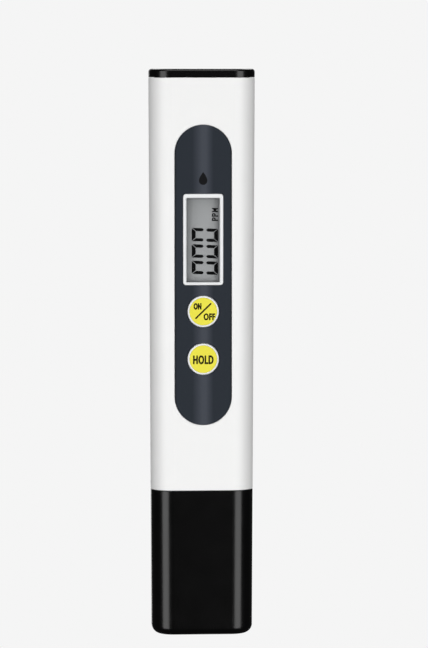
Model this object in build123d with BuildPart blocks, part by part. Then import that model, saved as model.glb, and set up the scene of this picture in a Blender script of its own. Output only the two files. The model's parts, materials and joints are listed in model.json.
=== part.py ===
from build123d import *
from math import atan, degrees
import os

# Pocket water tester: a slim tapered body with a display, two buttons, a
# pull-off battery cap on top and a pull-off cap over the probe.
# Millimetres, +Z up the body, display towards -Y, origin at the centre of the
# flat bottom that the tester stands on.

os.makedirs("parts", exist_ok=True)

# Two button cells side by side, their tray and the walls set the body's width
cell_diameter = 11.6
cell_thickness = 5.4
cell_clearance = 0.1
tray_web = 0.8
tray_wall = 0.6
tray_clearance = 0.3
housing_wall = 1.4
cell_pitch = cell_diameter + 2 * cell_clearance + tray_web
tray_width = cell_pitch + cell_diameter + 2 * cell_clearance + 2 * tray_wall
top_width = tray_width + 2 * (tray_clearance + housing_wall)

# Outline of the body: its width falls by body_taper from the top to the bottom
body_taper = 1.4
body_depth = 14.4
corner_radius = 6.0
parting_gap = 0.1

# Lengths that stack up, with the buttons and the display, to the overall length
cap_length = 39.85
margin_below_panel = 18.0
panel_below_button = 18.05
panel_above_display = 18.8
margin_above_panel = 12.8
battery_cap_thickness = 2.3

# Outer edges
housing_edge = 0.12
cap_bottom_radius = 2.5
cap_mouth_edge = 0.12
battery_cap_edge = 0.8

# Dark panel on the front
panel_width = 15.5
panel_recess = 0.4
panel_thickness = 0.35
panel_gap = 0.12

# Display: bezel, window, glass and its holder
bezel_side_rim = 0.9
bezel_top_rim = 1.1
bezel_bottom_rim = 0.75
bezel_corner = 0.8
bezel_proud = 0.15
bezel_edge = 0.12
bezel_clearance = 0.05
bezel_flange = 1.0
bezel_flange_thickness = 0.6
bezel_lip = 1.05
bezel_bevel = 0.25
window_width = 9.1
window_length = 22.95
window_corner = 0.25
window_thickness = 1.0
window_overlap = 0.45
window_clearance = 0.05
glass_side_margin = 2.75
glass_end_margin = 2.0
glass_thickness = 1.0
glass_gap = 0.1
contact_ledge = 2.0
reflector_thickness = 0.15
zebra_width = 1.6
zebra_height = 2.6
zebra_clearance = 0.1
holder_wall = 0.9
holder_lip = 0.5
holder_lip_grip = 0.7
holder_clearance = 0.1
peg_diameter = 0.8
peg_clearance = 0.05
peg_from_end = 2.5
peg_end = 0.4

# Buttons and the switches behind them
button_pitch = 13.0
button_diameter = 8.5
button_rim = 0.45
button_proud = 0.45
button_edge = 0.15
button_clearance = 0.15
button_flange = 0.7
button_flange_thickness = 0.6
button_stop_gap = 0.05
button_to_holder = 0.18
button_travel = 0.3
face_recess = 0.35
face_thickness = 0.3
face_clearance = 0.03
boss_diameter = 3.0
boss_height = 0.3
key_length = 1.2
key_width = 1.6
key_clearance = 0.2
key_rib = 0.6
key_rib_height = 1.1
switch_size = 6.0
switch_corner = 0.5
switch_body_height = 2.6
switch_cover_thickness = 0.2
plunger_diameter = 3.4
plunger_clearance = 0.1
plunger_flange = 0.4
plunger_flange_thickness = 0.5
switch_leg_width = 0.7
switch_leg_length = 1.0
switch_leg_thickness = 0.2
switch_leg_spacing = 4.0

# Circuit board and what it carries on its back
board_thickness = 1.0
board_corner = 1.0
board_side_gap = 0.7
board_end_gap = 1.0
board_foot_gap = 0.3
rail_grip = 0.8
rail_thickness = 0.9
rail_clearance = 0.1
rail_start = 3.0
blob_diameter = 9.0
blob_height = 1.4
chip_length = 4.9
chip_width = 3.9
chip_height = 1.5
chip_lead_pitch = 1.27
chip_lead_width = 0.4
chip_lead_reach = 1.0
chip_lead_thickness = 0.2
chip_above_board_foot = 20.0
crystal_diameter = 2.0
crystal_length = 6.0
crystal_lead_diameter = 0.3
crystal_lead_length = 2.0
crystal_offset = 7.5
chip_part_length = 2.0
chip_part_width = 1.25
resistor_height = 0.5
capacitor_height = 1.1
chip_part_pitch = 3.2
chip_part_offset = 7.0

# Battery cap, tray and contacts
cap_plug_length = 4.0
cap_plug_clearance = 0.15
cap_plug_wall = 1.3
cap_core_depth = 3.0
tongue_width = 5.0
tongue_length = 2.4
tongue_thickness = 1.2
tongue_clearance = 0.1
tray_floor = 0.6
tray_front_setback = 0.1
tray_corner = 1.2
link_thickness = 0.2
link_width = 3.0
link_overlap = 2.5
link_clearance = 0.1
contact_thickness = 0.3
contact_width = 3.0
contact_gap = 0.1
contact_reach = 0.9
contact_foot = 3.4
contact_bend = 0.6

# Probe end
socket_length = 9.0
socket_clearance = 0.1
spigot_length = 10.0
cap_wall = 1.5
cap_floor = 2.0
cap_corner_inside = 1.0
spigot_clearance = 0.2
spigot_lead_in = 0.8
nose_length = 5.1
nose_width = 17.0
nose_depth = 8.0
nose_corner = 3.0
nose_draft = 0.8
cup_wall = 1.6
cup_depth = 7.0
potting_depth = 5.0
potting_clearance = 0.02
pin_diameter = 1.8
pin_spacing = 6.0
pin_exposed = 9.5
pin_tip = 0.6
tail_diameter = 0.9
tail_gap = 0.05
tail_overlap = 4.0
pin_clearance = 0.02
bead_diameter = 2.0
bead_length = 3.0
bead_clearance = 0.2
bead_floor = 1.2
lead_diameter = 0.4
lead_spacing = 1.2
prong_width = 3.6
prong_depth = 3.0
prong_height = 9.0
prong_side_gap = 2.2
screw_above_board_foot = 5.5
screw_diameter = 1.6
screw_length = 3.6
screw_head_diameter = 3.0
screw_head_height = 0.9
screw_clearance = 0.03
screw_board_clearance = 0.1
screw_slot_width = 0.5
screw_slot_depth = 0.4

# Seals of soft rubber in grooves
seal_height = 1.4
seal_depth = 0.7
seal_clearance = 0.03
cap_seal_gap = 0.08

# Depths from front to back
front_face = -body_depth / 2
wall_inside = front_face + housing_wall
panel_back = front_face + panel_recess
bezel_front = front_face - bezel_proud
bezel_back = wall_inside + bezel_flange_thickness
window_front = bezel_front + bezel_lip
window_back = window_front + window_thickness
glass_front = bezel_back + glass_gap
glass_middle = glass_front + glass_thickness
glass_back = glass_middle + glass_thickness
board_front = glass_middle + zebra_height
board_back = board_front + board_thickness
pin_axis = board_back + tail_gap + tail_diameter / 2

# Sizes round the window, from the window outwards
bezel_width = window_width + 2 * bezel_side_rim
bezel_length = window_length + bezel_top_rim + bezel_bottom_rim
glass_width = window_width + 2 * glass_side_margin
glass_length = window_length + 2 * glass_end_margin
pocket_width = glass_width + 2 * holder_clearance
pocket_length = glass_length + 2 * holder_clearance
holder_length = pocket_length + 2 * holder_wall
flange_radius = button_diameter / 2 + button_flange

# Heights of the front features, stacked up from the bottom
cap_top = cap_length
housing_bottom = cap_top + parting_gap
panel_bottom = housing_bottom + margin_below_panel
hold_height = panel_bottom + panel_below_button
on_off_height = hold_height + button_pitch
display_height = on_off_height + flange_radius + button_to_holder + holder_length / 2
window_height = display_height - (bezel_top_rim - bezel_bottom_rim) / 2
panel_top = display_height + bezel_length / 2 + panel_above_display
panel_length = panel_top - panel_bottom
panel_centre = (panel_bottom + panel_top) / 2
housing_top = panel_top + margin_above_panel
battery_cap_bottom = housing_top + parting_gap
overall_length = battery_cap_bottom + battery_cap_thickness

# Battery end
cap_plug_bottom = battery_cap_bottom - cap_plug_length
tray_top = cap_plug_bottom
cell_height = tray_top - tray_wall - cell_clearance - cell_diameter / 2
tray_bottom = cell_height - cell_diameter / 2 - cell_clearance - tray_wall
cell_front = -cell_thickness / 2
cell_back = cell_thickness / 2
tray_front = cell_front + tray_front_setback
tray_back = cell_back + link_thickness + tray_floor

# Probe end
socket_top = housing_bottom + socket_length
socket_inset = housing_wall + socket_clearance
spigot_inset = cap_wall + spigot_clearance
spigot_bottom = housing_bottom - spigot_length
nose_bottom = spigot_bottom - nose_length
pin_bottom = nose_bottom - pin_exposed
cup_floor = socket_top - cup_depth
potting_top = cup_floor + potting_depth

# Board
board_bottom = socket_top + board_foot_gap
board_top = tray_bottom - board_end_gap
board_length = board_top - board_bottom
board_centre = (board_top + board_bottom) / 2
screw_height = board_bottom + screw_above_board_foot


def body_width(height):
    """Width of the tapered body at a height."""
    bottom_width = top_width - body_taper
    return bottom_width + body_taper * height / overall_length


def body_block(bottom, top, inset):
    """Block of the tapered body between two heights, moved inwards by inset."""
    bottom_half = body_width(bottom) / 2 - inset
    top_half = body_width(top) / 2 - inset
    with BuildPart(mode=Mode.PRIVATE) as block:
        with BuildSketch(Plane.XZ):
            with BuildLine():
                Polyline(
                    (-bottom_half, bottom),
                    (bottom_half, bottom),
                    (top_half, top),
                    (-top_half, top),
                    close=True,
                )
            make_face()
        extrude(amount=body_depth / 2 - inset, both=True)
        level = block.edges().filter_by(Axis.X) + block.edges().filter_by(Axis.Y)
        fillet(block.edges() - level, corner_radius - inset)
    return block.part


def body_ring(bottom, top, outer_inset, inner_inset):
    """Band between two insets of the body's outline, for grooves and seals."""
    with BuildPart(mode=Mode.PRIVATE) as ring:
        add(body_block(bottom, top, outer_inset))
        add(body_block(bottom, top, inner_inset), mode=Mode.SUBTRACT)
    return ring.part


def facing_front(depth):
    """Sketch plane at a depth, with X to the right, Z up and its normal forwards."""
    return Plane.XZ.offset(-depth)


button_heights = {"on_off": on_off_height, "hold": hold_height}
button_places = [(0, height) for height in button_heights.values()]
button_hole_radius = button_diameter / 2 + button_clearance
flange_front = wall_inside + button_stop_gap
flange_back = flange_front + button_flange_thickness
plunger_top = flange_back + boss_height
board_width = body_width(board_bottom) - 2 * (housing_wall + board_side_gap)

# Housing: one tapered sleeve, open at both ends
rail_bottom = board_bottom + rail_start
rail_inner = board_width / 2 - rail_grip
rail_outer = body_width(rail_bottom) / 2 - housing_wall / 2
rail_middle = (rail_inner + rail_outer) / 2
front_rail_depth = board_front - rail_clearance - rail_thickness / 2
back_rail_depth = board_back + rail_clearance + rail_thickness / 2
key_rib_length = key_length + key_clearance
key_rib_offset = (key_width + key_rib) / 2 + key_clearance
key_rib_middle = flange_radius + key_clearance + key_rib_length / 2

with BuildPart() as housing:
    add(body_block(housing_bottom, housing_top, 0))
    chamfer(housing.faces().sort_by(Axis.Z)[-1].edges(), housing_edge)
    chamfer(housing.faces().sort_by(Axis.Z)[0].edges(), housing_edge)
    add(body_block(housing_bottom, housing_top, housing_wall), mode=Mode.SUBTRACT)
    # Shallow recess for the dark panel
    with BuildSketch(facing_front(front_face)):
        with Locations((0, panel_centre)):
            SlotOverall(panel_length + 2 * panel_gap, panel_width + 2 * panel_gap, rotation=90)
    extrude(amount=-panel_recess, mode=Mode.SUBTRACT)
    # Opening for the display and holes for the buttons
    with BuildSketch(facing_front(front_face)):
        with Locations((0, display_height)):
            RectangleRounded(
                bezel_width + 2 * bezel_clearance,
                bezel_length + 2 * bezel_clearance,
                bezel_corner + bezel_clearance,
            )
        with Locations(*button_places):
            Circle(button_hole_radius)
    extrude(amount=-2 * housing_wall, mode=Mode.SUBTRACT)
    # Rails in the side walls that the board slides into
    with BuildSketch(Plane.XY.offset(rail_bottom)):
        for side in (-1, 1):
            for depth in (front_rail_depth, back_rail_depth):
                with Locations((side * rail_middle, depth)):
                    Rectangle(rail_outer - rail_inner, rail_thickness)
    extrude(amount=board_top - rail_bottom)
    # Ribs beside the button flanges that stop the buttons turning
    with BuildSketch(facing_front(wall_inside)):
        for height in button_heights.values():
            for side in (-1, 1):
                with Locations((key_rib_middle, height + side * key_rib_offset)):
                    Rectangle(key_rib_length, key_rib)
    extrude(amount=-key_rib_height)
housing.part.label = "housing"
export_step(housing.part, "parts/housing.step")

# Dark panel: a stadium of film with cut-outs for the display and the buttons
with BuildPart() as front_panel:
    with BuildSketch(facing_front(panel_back)):
        with Locations((0, panel_centre)):
            SlotOverall(panel_length, panel_width, rotation=90)
        with Locations((0, display_height)):
            RectangleRounded(
                bezel_width + 2 * bezel_clearance,
                bezel_length + 2 * bezel_clearance,
                bezel_corner + bezel_clearance,
                mode=Mode.SUBTRACT,
            )
        with Locations(*button_places):
            Circle(button_hole_radius, mode=Mode.SUBTRACT)
    extrude(amount=panel_thickness)
front_panel.part.label = "front_panel"
export_step(front_panel.part, "parts/front_panel.step")

# Bezel: a frame through the front wall, held by a flange behind it
with BuildPart() as display_bezel:
    with BuildSketch(facing_front(bezel_back)):
        with Locations((0, display_height)):
            RectangleRounded(bezel_width, bezel_length, bezel_corner)
    extrude(amount=bezel_back - bezel_front)
    chamfer(display_bezel.faces().sort_by(Axis.Y)[0].edges(), bezel_edge)
    with BuildSketch(facing_front(bezel_back)):
        with Locations((0, display_height)):
            RectangleRounded(
                bezel_width + 2 * bezel_flange,
                bezel_length + 2 * bezel_flange,
                bezel_corner + bezel_flange,
            )
    extrude(amount=bezel_flange_thickness)
    with BuildSketch(facing_front(bezel_back)):
        with Locations((0, window_height)):
            RectangleRounded(window_width, window_length, window_corner)
    extrude(amount=bezel_back - bezel_front, mode=Mode.SUBTRACT)
    chamfer(display_bezel.faces().sort_by(Axis.Y)[0].inner_wires()[0].edges(), bezel_bevel)
    with BuildSketch(facing_front(bezel_back)):
        with Locations((0, window_height)):
            Rectangle(
                window_width + 2 * (window_overlap + window_clearance),
                window_length + 2 * (window_overlap + window_clearance),
            )
    extrude(amount=bezel_back - window_front, mode=Mode.SUBTRACT)
display_bezel.part.label = "display_bezel"
export_step(display_bezel.part, "parts/display_bezel.step")

# Clear window, seated against the bezel's lip from behind
with BuildPart() as display_window:
    with BuildSketch(facing_front(window_back)):
        with Locations((0, window_height)):
            Rectangle(window_width + 2 * window_overlap, window_length + 2 * window_overlap)
    extrude(amount=window_thickness)
    chamfer(display_window.faces().sort_by(Axis.Y)[-1].edges(), window_clearance)
display_window.part.label = "display_window"
export_step(display_window.part, "parts/display_window.step")

# Display glass: a wide front plate whose ledges carry the contacts, and a
# narrow rear plate with a reflector behind it
with BuildPart() as display_front_glass:
    with BuildSketch(facing_front(glass_middle)):
        with Locations((0, display_height)):
            Rectangle(glass_width, glass_length)
    extrude(amount=glass_thickness)
display_front_glass.part.label = "display_front_glass"
export_step(display_front_glass.part, "parts/display_front_glass.step")

rear_glass_width = glass_width - 2 * contact_ledge
with BuildPart() as display_rear_glass:
    with BuildSketch(facing_front(glass_back)):
        with Locations((0, display_height)):
            Rectangle(rear_glass_width, glass_length)
    extrude(amount=glass_thickness)
display_rear_glass.part.label = "display_rear_glass"
export_step(display_rear_glass.part, "parts/display_rear_glass.step")

with BuildPart() as display_reflector:
    with BuildSketch(facing_front(glass_back)):
        with Locations((0, display_height)):
            Rectangle(rear_glass_width, glass_length)
    extrude(amount=-reflector_thickness)
display_reflector.part.label = "display_reflector"
export_step(display_reflector.part, "parts/display_reflector.step")

# Rubber contact strips between the ledges of the glass and the board
zebra_offset = rear_glass_width / 2 + zebra_clearance + zebra_width / 2
for name, side in (("left", -1), ("right", 1)):
    with BuildPart() as zebra_strip:
        with BuildSketch(facing_front(board_front)):
            with Locations((side * zebra_offset, display_height)):
                Rectangle(zebra_width, glass_length)
        extrude(amount=zebra_height)
    zebra_strip.part.label = f"zebra_strip_{name}"
    export_step(zebra_strip.part, f"parts/zebra_strip_{name}.step")

# Holder: a frame round the glass with a lip down each side and pegs through the
# board
peg_offset = (pocket_width + holder_wall) / 2
peg_spread = pocket_length / 2 - peg_from_end
peg_places = [
    (side * peg_offset, display_height + end * peg_spread)
    for side in (-1, 1)
    for end in (-1, 1)
]
with BuildPart() as display_holder:
    with BuildSketch(facing_front(board_front)):
        with Locations((0, display_height)):
            Rectangle(pocket_width + 2 * holder_wall, holder_length)
    extrude(amount=board_front - glass_front + holder_lip)
    with BuildSketch(facing_front(board_front)):
        with Locations((0, display_height)):
            Rectangle(pocket_width, pocket_length)
    extrude(amount=board_front - glass_front, mode=Mode.SUBTRACT)
    with BuildSketch(facing_front(glass_front)):
        with Locations((0, display_height)):
            Rectangle(pocket_width - 2 * holder_lip_grip, holder_length)
    extrude(amount=holder_lip, mode=Mode.SUBTRACT)
    with BuildSketch(facing_front(board_front)):
        with Locations(*peg_places):
            Circle(peg_diameter / 2)
    extrude(amount=-(board_thickness + peg_end))
display_holder.part.label = "display_holder"
export_step(display_holder.part, "parts/display_holder.step")

# Each button is a white cap with a coloured face let into its front. Behind it
# sits a switch: a body on the board, a steel cover and a plunger.
button_front = front_face - button_proud
well_radius = plunger_diameter / 2 + plunger_flange + plunger_clearance
well_depth = plunger_flange_thickness + 2 * button_travel
for name, height in button_heights.items():
    with BuildPart() as button:
        with BuildSketch(facing_front(flange_back)):
            with Locations((0, height)):
                Circle(flange_radius)
            with Locations(((flange_radius + key_length) / 2, height)):
                Rectangle(flange_radius + key_length, key_width)
        extrude(amount=button_flange_thickness)
        with BuildSketch(facing_front(flange_back)):
            with Locations((0, height)):
                Circle(button_diameter / 2)
        extrude(amount=flange_back - button_front)
        chamfer(button.faces().sort_by(Axis.Y)[0].edges(), button_edge)
        with BuildSketch(facing_front(button_front)):
            with Locations((0, height)):
                Circle(button_diameter / 2 - button_rim)
        extrude(amount=-face_recess, mode=Mode.SUBTRACT)
        with BuildSketch(facing_front(flange_back)):
            with Locations((0, height)):
                Circle(boss_diameter / 2)
        extrude(amount=-boss_height)
    button.part.label = f"button_{name}"
    export_step(button.part, f"parts/button_{name}.step")

    with BuildPart() as button_face:
        with BuildSketch(facing_front(button_front + face_recess)):
            with Locations((0, height)):
                Circle(button_diameter / 2 - button_rim - face_clearance)
        extrude(amount=face_thickness)
        chamfer(button_face.faces().sort_by(Axis.Y)[0].edges(), face_thickness / 4)
    button_face.part.label = f"button_face_{name}"
    export_step(button_face.part, f"parts/button_face_{name}.step")

    with BuildPart() as switch_body:
        with BuildSketch(facing_front(board_front)) as body_outline:
            with Locations((0, height)):
                Rectangle(switch_size, switch_size)
            chamfer(body_outline.vertices(), switch_corner)
        extrude(amount=switch_body_height)
        with BuildSketch(facing_front(board_front - switch_body_height)):
            with Locations((0, height)):
                Circle(well_radius)
        extrude(amount=-well_depth, mode=Mode.SUBTRACT)
        # Four flat legs soldered to the board
        with BuildSketch(facing_front(board_front)):
            for side in (-1, 1):
                for end in (-1, 1):
                    leg_middle = side * (switch_size + switch_leg_length) / 2
                    with Locations((leg_middle, height + end * switch_leg_spacing / 2)):
                        Rectangle(switch_leg_length, switch_leg_width)
        extrude(amount=switch_leg_thickness)
    switch_body.part.label = f"switch_body_{name}"
    export_step(switch_body.part, f"parts/switch_body_{name}.step")

    with BuildPart() as switch_cover:
        with BuildSketch(facing_front(board_front - switch_body_height)) as cover_outline:
            with Locations((0, height)):
                Rectangle(switch_size, switch_size)
            chamfer(cover_outline.vertices(), switch_corner)
            with Locations((0, height)):
                Circle(plunger_diameter / 2 + plunger_clearance, mode=Mode.SUBTRACT)
        extrude(amount=switch_cover_thickness)
    switch_cover.part.label = f"switch_cover_{name}"
    export_step(switch_cover.part, f"parts/switch_cover_{name}.step")

    with BuildPart() as switch_plunger:
        plunger_foot = board_front - switch_body_height + plunger_flange_thickness
        with BuildSketch(facing_front(plunger_foot)):
            with Locations((0, height)):
                Circle(plunger_diameter / 2 + plunger_flange)
        extrude(amount=plunger_flange_thickness - plunger_clearance / 2)
        with BuildSketch(facing_front(plunger_foot)):
            with Locations((0, height)):
                Circle(plunger_diameter / 2)
        extrude(amount=plunger_foot - plunger_top)
        chamfer(switch_plunger.faces().sort_by(Axis.Y)[0].edges(), plunger_clearance)
    switch_plunger.part.label = f"switch_plunger_{name}"
    export_step(switch_plunger.part, f"parts/switch_plunger_{name}.step")

# Circuit board, held by the rails, the holder's pegs and two screws
prong_middle = board_width / 2 - prong_side_gap - prong_width / 2
screw_places = [(side * prong_middle, screw_height) for side in (-1, 1)]
with BuildPart() as circuit_board:
    with BuildSketch(facing_front(board_back)):
        with Locations((0, board_centre)):
            RectangleRounded(board_width, board_length, board_corner)
        with Locations(*peg_places):
            Circle(peg_diameter / 2 + peg_clearance, mode=Mode.SUBTRACT)
        with Locations(*screw_places):
            Circle(screw_diameter / 2 + screw_board_clearance, mode=Mode.SUBTRACT)
    extrude(amount=board_thickness)
circuit_board.part.label = "circuit_board"
export_step(circuit_board.part, "parts/circuit_board.step")

# Screws through the board's foot into the prongs of the probe holder
with BuildPart() as board_screws:
    with BuildSketch(facing_front(board_front)):
        with Locations(*screw_places):
            Circle(screw_diameter / 2)
    extrude(amount=-screw_length)
    with BuildSketch(facing_front(board_front)):
        with Locations(*screw_places):
            Circle(screw_head_diameter / 2)
    extrude(amount=screw_head_height)
    chamfer(board_screws.faces().group_by(Axis.Y)[0].edges(), screw_head_height / 4)
    with BuildSketch(facing_front(board_front - screw_head_height)):
        with Locations(*screw_places):
            Rectangle(screw_slot_width, 2 * screw_head_diameter / 3)
            Rectangle(2 * screw_head_diameter / 3, screw_slot_width)
    extrude(amount=-screw_slot_depth, mode=Mode.SUBTRACT)
board_screws.part.label = "board_screws"
export_step(board_screws.part, "parts/board_screws.step")

# Controller under a dome of black resin behind the display
dome_radius = (blob_diameter**2 / 4 + blob_height**2) / (2 * blob_height)
with BuildPart() as controller_blob:
    with BuildSketch(Plane.XY.offset(display_height)):
        with Locations((0, board_back + blob_height - dome_radius)):
            Circle(dome_radius)
        with Locations((blob_diameter / 4, board_back + blob_height / 2)):
            Rectangle(blob_diameter / 2, blob_height, mode=Mode.INTERSECT)
    revolve(axis=Axis((0, 0, display_height), (0, 1, 0)))
controller_blob.part.label = "controller_blob"
export_step(controller_blob.part, "parts/controller_blob.step")

# Amplifier chip near the probe, with four leads on each side
chip_height_on_board = board_bottom + chip_above_board_foot
with BuildPart() as amplifier_chip:
    with BuildSketch(facing_front(board_back + chip_lead_thickness)):
        with Locations((0, chip_height_on_board)):
            Rectangle(chip_width, chip_length)
    extrude(amount=-(chip_height - chip_lead_thickness))
    chamfer(amplifier_chip.faces().sort_by(Axis.Y)[-1].edges(), chip_height / 6)
    with BuildSketch(facing_front(board_back)):
        for side in (-1, 1):
            with Locations((side * (chip_width + chip_lead_reach) / 2, chip_height_on_board)):
                with GridLocations(1, chip_lead_pitch, 1, 4):
                    Rectangle(chip_lead_reach, chip_lead_width)
    extrude(amount=-chip_height / 2)
amplifier_chip.part.label = "amplifier_chip"
export_step(amplifier_chip.part, "parts/amplifier_chip.step")

# Clock crystal: a small can lying on the board, its two leads bent down to it
crystal_axis = board_back + crystal_diameter / 2
with BuildPart() as crystal:
    with BuildSketch(Plane.XY.offset(display_height)):
        with Locations((crystal_offset, crystal_axis)):
            Circle(crystal_diameter / 2)
    extrude(amount=crystal_length)
    chamfer(crystal.faces().sort_by(Axis.Z)[-1].edges(), crystal_diameter / 6)
    with BuildSketch(Plane.XY.offset(display_height)):
        with Locations((crystal_offset, crystal_axis)):
            with GridLocations(crystal_diameter / 2, 1, 2, 1):
                Circle(crystal_lead_diameter / 2)
    extrude(amount=-crystal_lead_length)
crystal.part.label = "crystal"
export_step(crystal.part, "parts/crystal.step")

# Small chip parts in a column on each side of the amplifier
for name, side, part_height in (
    ("chip_resistors", -1, resistor_height),
    ("chip_capacitors", 1, capacitor_height),
):
    with BuildPart() as chip_parts:
        with BuildSketch(facing_front(board_back)):
            with Locations((side * chip_part_offset, chip_height_on_board)):
                with GridLocations(1, chip_part_pitch, 1, 4):
                    Rectangle(chip_part_length, chip_part_width)
        extrude(amount=-part_height)
        chamfer(chip_parts.edges().filter_by(Axis.Y), chip_part_width / 10)
    chip_parts.part.label = name
    export_step(chip_parts.part, f"parts/{name}.step")

# Battery cap: a slab that closes the top, with a cored plug inside the sleeve
plug_inset = housing_wall + cap_plug_clearance
plug_seal_bottom = battery_cap_bottom - (cap_plug_length + seal_height) / 2
plug_groove = body_ring(
    plug_seal_bottom, plug_seal_bottom + seal_height, plug_inset - seal_depth, plug_inset + seal_depth
)
core_width = cell_pitch - cap_plug_wall
core_depth_across = body_depth - 2 * (plug_inset + seal_depth + cap_plug_wall)
with BuildPart() as battery_cap:
    add(body_block(battery_cap_bottom, overall_length, 0))
    fillet(battery_cap.faces().sort_by(Axis.Z)[-1].edges(), battery_cap_edge)
    add(body_block(cap_plug_bottom, battery_cap_bottom, plug_inset))
    add(plug_groove, mode=Mode.SUBTRACT)
    with BuildSketch(Plane.XY.offset(cap_plug_bottom)):
        with GridLocations(cell_pitch, 1, 2, 1):
            RectangleRounded(core_width, core_depth_across, cap_plug_wall)
    extrude(amount=cap_core_depth, mode=Mode.SUBTRACT)
battery_cap.part.label = "battery_cap"
export_step(battery_cap.part, "parts/battery_cap.step")


def seal_ring(bottom, groove_inset, outer_inset):
    """Rubber ring that lies in a groove and reaches out to outer_inset."""
    ring = body_ring(
        bottom + seal_clearance,
        bottom + seal_height - seal_clearance,
        outer_inset,
        groove_inset + seal_depth - seal_clearance,
    )
    return ring


with BuildPart() as battery_cap_seal:
    add(seal_ring(plug_seal_bottom, plug_inset, housing_wall + cap_seal_gap))
battery_cap_seal.part.label = "battery_cap_seal"
export_step(battery_cap_seal.part, "parts/battery_cap_seal.step")

# Tray under the battery cap, with a round pocket for each cell
tray_height = tray_top - tray_bottom
with BuildPart() as battery_tray:
    with BuildSketch(facing_front(tray_back)):
        with Locations((0, (tray_top + tray_bottom) / 2)):
            Rectangle(tray_width, tray_height)
    extrude(amount=tray_back - tray_front)
    fillet(battery_tray.edges().filter_by(Axis.Z).group_by(Axis.Y)[-1], tray_corner)
    with BuildSketch(facing_front(tray_front)):
        with Locations((0, cell_height)):
            with GridLocations(cell_pitch, 1, 2, 1):
                Circle(cell_diameter / 2 + cell_clearance)
            Rectangle(cell_pitch, link_width + 2 * link_clearance)
    extrude(amount=-(tray_back - tray_floor - tray_front), mode=Mode.SUBTRACT)
    # Tongues that clip into the cores of the cap's plug
    with BuildSketch(Plane.XY.offset(tray_top)):
        tongue_depth = core_depth_across / 2 - tongue_clearance - tongue_thickness / 2
        with Locations((0, tongue_depth)):
            with GridLocations(cell_pitch, 1, 2, 1):
                Rectangle(tongue_width, tongue_thickness)
    extrude(amount=tongue_length)
battery_tray.part.label = "battery_tray"
export_step(battery_tray.part, "parts/battery_tray.step")

# Metal link on the tray's floor that joins the two cells in series
with BuildPart() as battery_link:
    with BuildSketch(facing_front(tray_back - tray_floor)):
        with Locations((0, cell_height)):
            SlotOverall(cell_pitch + 2 * link_overlap, link_width)
    extrude(amount=link_thickness)
battery_link.part.label = "battery_link"
export_step(battery_link.part, "parts/battery_link.step")

# Button cells, one each way round. The profile runs from the flat can face to
# the raised face of the other pole.
cell_radius = cell_diameter / 2
for name, side, can_face, direction in (
    ("left", -1, cell_front, 1),
    ("right", 1, cell_back, -1),
):
    cell_x = side * cell_pitch / 2
    with BuildPart() as battery_cell:
        with BuildSketch(Plane.XY.offset(cell_height)):
            with BuildLine():
                profile = [
                    (0, 0),
                    (0.93 * cell_radius, 0),
                    (cell_radius, 0.07 * cell_radius),
                    (cell_radius, 0.8 * cell_thickness),
                    (0.88 * cell_radius, 0.92 * cell_thickness),
                    (0.82 * cell_radius, 0.88 * cell_thickness),
                    (0.76 * cell_radius, cell_thickness),
                    (0, cell_thickness),
                ]
                Polyline(
                    *[(cell_x + r, can_face + direction * along) for r, along in profile],
                    close=True,
                )
            make_face()
        revolve(axis=Axis((cell_x, 0, cell_height), (0, 1, 0)))
    battery_cell.part.label = f"battery_cell_{name}"
    export_step(battery_cell.part, f"parts/battery_cell_{name}.step")

# Sprung contacts: a foot on the board, a step forwards and a leaf up to the cell
foot_depth = board_front - contact_thickness / 2
leaf_depth = cell_front - contact_reach
touch_depth = cell_front - contact_gap - contact_thickness / 2
for name, side in (("positive", -1), ("negative", 1)):
    with BuildPart() as battery_contact:
        with BuildSketch(Plane.YZ.offset(side * cell_pitch / 2)):
            with BuildLine():
                leaf = FilletPolyline(
                    (foot_depth, board_top - board_end_gap - contact_foot),
                    (foot_depth, board_top - board_end_gap),
                    (leaf_depth, board_top),
                    (leaf_depth, cell_height - cell_radius / 2),
                    (touch_depth, cell_height),
                    (leaf_depth, cell_height + cell_radius / 2),
                    radius=contact_bend,
                )
            trace(leaf, line_width=contact_thickness)
        extrude(amount=contact_width / 2, both=True)
    battery_contact.part.label = f"battery_contact_{name}"
    export_step(battery_contact.part, f"parts/battery_contact_{name}.step")

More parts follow.
